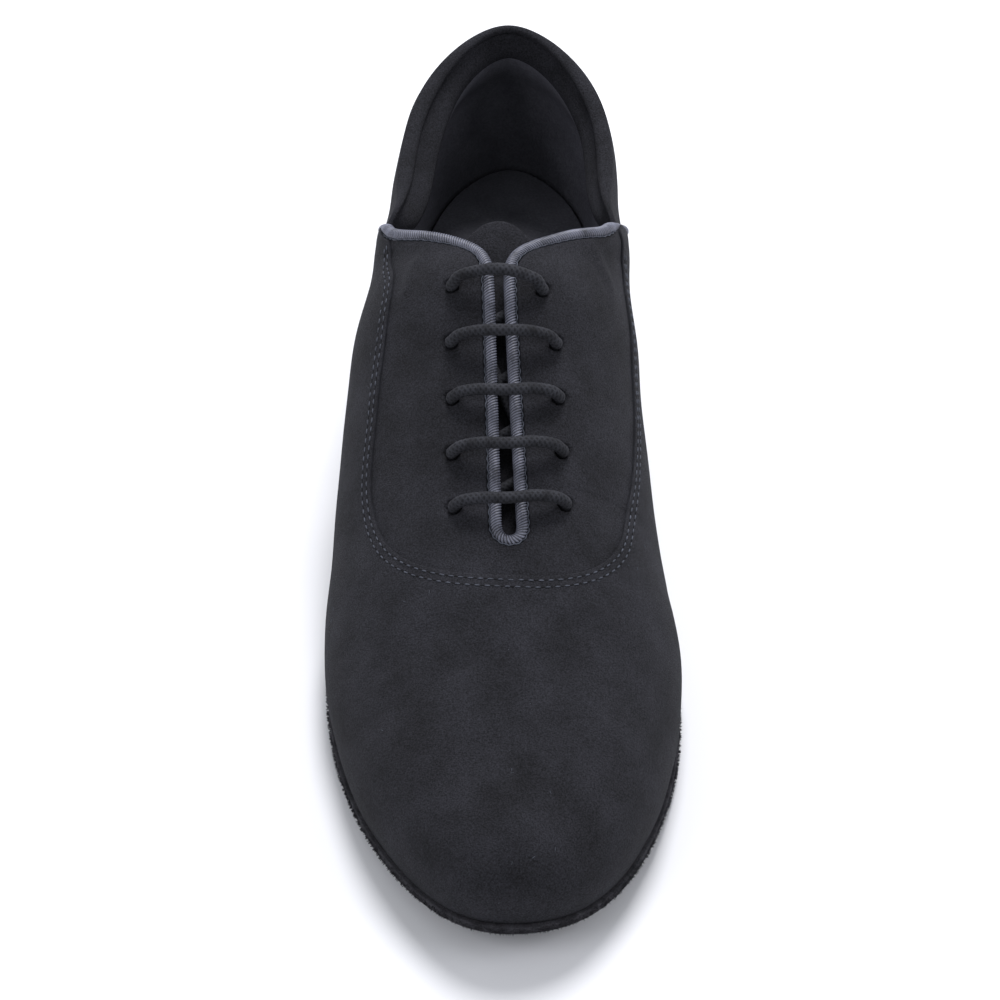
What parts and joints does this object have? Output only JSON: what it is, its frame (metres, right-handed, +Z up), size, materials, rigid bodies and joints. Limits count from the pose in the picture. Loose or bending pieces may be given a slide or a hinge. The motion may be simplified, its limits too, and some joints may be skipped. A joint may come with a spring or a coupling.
{
  "type": "ballroom dance shoe",
  "caption": "Low suede lace-up dance shoe for the right foot, with a slit throat edged in twisted cord, bar lacing, a thin suede sole and a low heel.",
  "frame": {"origin": "on the floor, under the middle of the shoe's box", "axes": "+Z up, toe towards -Y, heel towards +Y, big-toe side towards +X"},
  "size_m": [0.0986, 0.2892, 0.0915],
  "materials": {
    "suede": "dark slate suede, napped and matt",
    "sole_suede": "rough fibrous chrome suede",
    "heel_leather": "stacked leather, dyed black and waxed",
    "insole_leather": "smooth lining leather, satin",
    "whipcord": "twisted rayon cord, soft sheen",
    "lace_braid": "round braided cotton lace, matt"
  },
  "bodies": {
    "root": {"outsole": "sole_suede", "heel_block": "heel_leather", "heel_top_piece": "sole_suede", "insole": "insole_leather", "upper": "suede", "tongue": "suede", "edge_cord": "whipcord", "lace": "lace_braid"}
  },
  "joints": []
}
